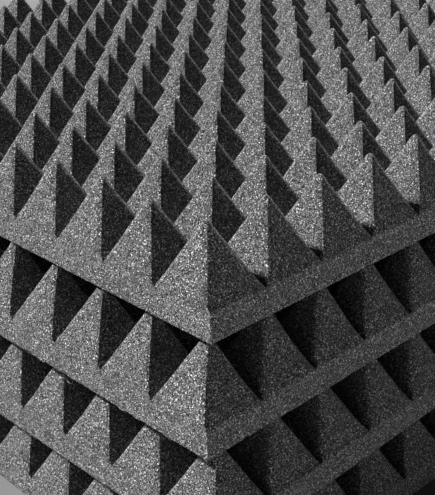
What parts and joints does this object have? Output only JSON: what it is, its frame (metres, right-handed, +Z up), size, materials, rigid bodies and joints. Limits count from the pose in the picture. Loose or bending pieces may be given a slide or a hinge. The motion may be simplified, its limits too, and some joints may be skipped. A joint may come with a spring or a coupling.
{
  "type": "acoustic foam panel stack",
  "caption": "Stack of square sound-absorbing foam panels, each a solid open-cell base with a field of blunt pyramids on its face, lying tips up, each on the tips of the one below.",
  "frame": {"origin": "on the surface that the bottom panel's flat back lies on, under the middle of the stack's box", "axes": "+Z up, square to the panels, from their backs to their tips; +X and +Y along the top panel's cut edges, away from the corner that the picture shows in front"},
  "size_m": [0.5284, 0.5172, 0.1905],
  "materials": {
    "charcoal_foam": "matte"
  },
  "bodies": {
    "bottom": {"panel_bottom": "charcoal_foam"},
    "third": {"panel_third": "charcoal_foam"},
    "second": {"panel_second": "charcoal_foam"},
    "top": {"panel_top": "charcoal_foam"}
  },
  "joints": [
    {"name": "third_lift", "type": "slide", "parent": "bottom", "child": "third", "axis": [0, 0, 1], "range_m": [0, 0.06]},
    {"name": "second_lift", "type": "slide", "parent": "third", "child": "second", "axis": [0, 0, 1], "range_m": [0, 0.06]},
    {"name": "top_lift", "type": "slide", "parent": "second", "child": "top", "axis": [0, 0, 1], "range_m": [0, 0.06]}
  ]
}
